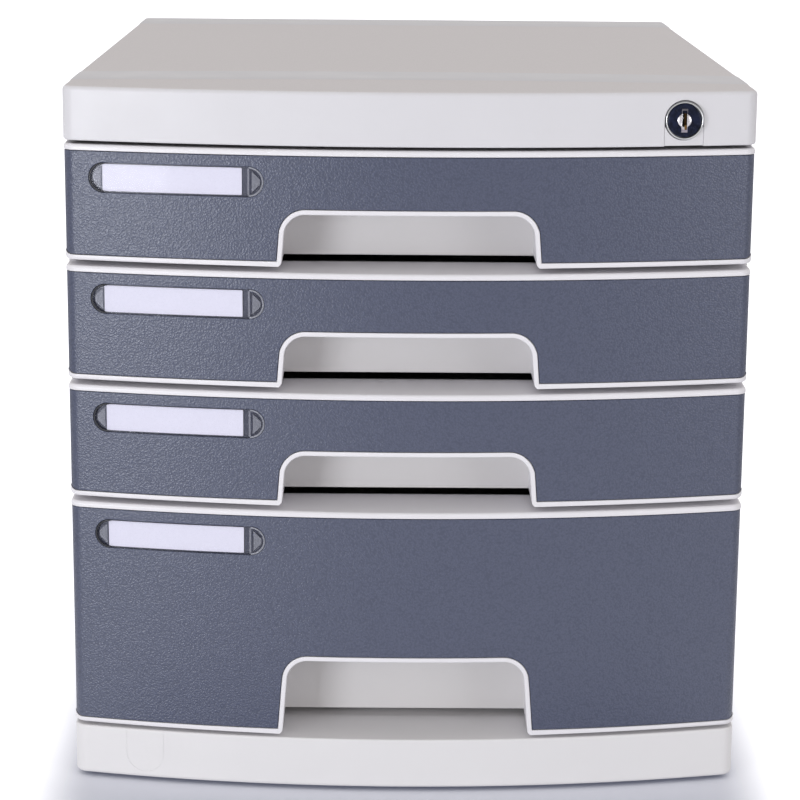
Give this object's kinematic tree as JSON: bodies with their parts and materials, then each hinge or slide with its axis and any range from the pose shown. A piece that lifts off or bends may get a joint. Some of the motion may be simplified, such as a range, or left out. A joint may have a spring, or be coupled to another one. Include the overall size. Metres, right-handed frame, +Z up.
{
  "type": "desktop file drawer cabinet",
  "caption": "Light grey desktop file cabinet with a bowed front, blue-grey grained drawer panels, clear label windows and a key lock whose bar holds every drawer shut.",
  "frame": {"origin": "middle of the footprint, on the surface that the feet stand on", "axes": "+X to the right of someone who faces the front, +Y to the back, +Z up"},
  "size_m": [0.302, 0.402, 0.317],
  "materials": {
    "shell": "fine grained moulded plastic, smooth on the bands and the front",
    "fronts": "satin moulded plastic",
    "trays": "satin moulded plastic",
    "grained_panels": "leather grain, slightly glossy",
    "label_windows": "clear moulded plastic",
    "label_cards": "plain white paper",
    "lock_chrome": "polished",
    "lock_face": "polished dark enamel",
    "lock_brass": "machined",
    "lock_steel": "zinc plated",
    "lock_bar": "plated and painted steel",
    "screws": "zinc plated",
    "feet": "matt"
  },
  "bodies": {
    "cabinet": {"top_cover": "shell", "base": "shell", "side_panel_left": "shell", "side_panel_right": "shell", "back_panel": "shell", "foot_front_left": "feet", "foot_front_right": "feet", "foot_rear_left": "feet", "foot_rear_right": "feet", "cover_screws": "screws", "base_screws": "screws", "back_screws": "screws", "lock_insert": "shell", "lock_housing": "lock_chrome", "lock_nut": "lock_steel"},
    "lock_core": {"lock_plug": "lock_face", "key_core": "lock_brass", "lock_cam": "lock_steel", "cam_screw": "screws"},
    "lock_bar": {"lock_bar": "lock_bar"},
    "drawer_1": {"drawer_1_tray": "trays", "drawer_1_front": "fronts", "drawer_1_panel": "grained_panels", "drawer_1_label_window": "label_windows", "drawer_1_label_card": "label_cards", "drawer_1_screws": "screws"},
    "drawer_2": {"drawer_2_tray": "trays", "drawer_2_front": "fronts", "drawer_2_panel": "grained_panels", "drawer_2_label_window": "label_windows", "drawer_2_label_card": "label_cards", "drawer_2_screws": "screws"},
    "drawer_3": {"drawer_3_tray": "trays", "drawer_3_front": "fronts", "drawer_3_panel": "grained_panels", "drawer_3_label_window": "label_windows", "drawer_3_label_card": "label_cards", "drawer_3_screws": "screws"},
    "drawer_4": {"drawer_4_tray": "trays", "drawer_4_front": "fronts", "drawer_4_panel": "grained_panels", "drawer_4_label_window": "label_windows", "drawer_4_label_card": "label_cards", "drawer_4_screws": "screws"}
  },
  "joints": [
    {"name": "drawer_1_slide", "type": "slide", "parent": "cabinet", "child": "drawer_1", "axis": [0, -1, 0], "range_m": [0, 0.27]},
    {"name": "drawer_2_slide", "type": "slide", "parent": "cabinet", "child": "drawer_2", "axis": [0, -1, 0], "range_m": [0, 0.27]},
    {"name": "drawer_3_slide", "type": "slide", "parent": "cabinet", "child": "drawer_3", "axis": [0, -1, 0], "range_m": [0, 0.27]},
    {"name": "drawer_4_slide", "type": "slide", "parent": "cabinet", "child": "drawer_4", "axis": [0, -1, 0], "range_m": [0, 0.27]},
    {"name": "lock_turn", "type": "hinge", "parent": "cabinet", "child": "lock_core", "pos_m": [0.1182, -0.19, 0.3043], "axis": [0, 1, 0], "range_deg": [0, 90]},
    {"name": "lock_bar_slide", "type": "slide", "parent": "cabinet", "child": "lock_bar", "axis": [0, 0, -1], "range_m": [0, 0.00848]}
  ],
  "couplings": [
    {"joint": "lock_turn", "follows": "lock_bar_slide", "rad_per_m": 185.12}
  ]
}
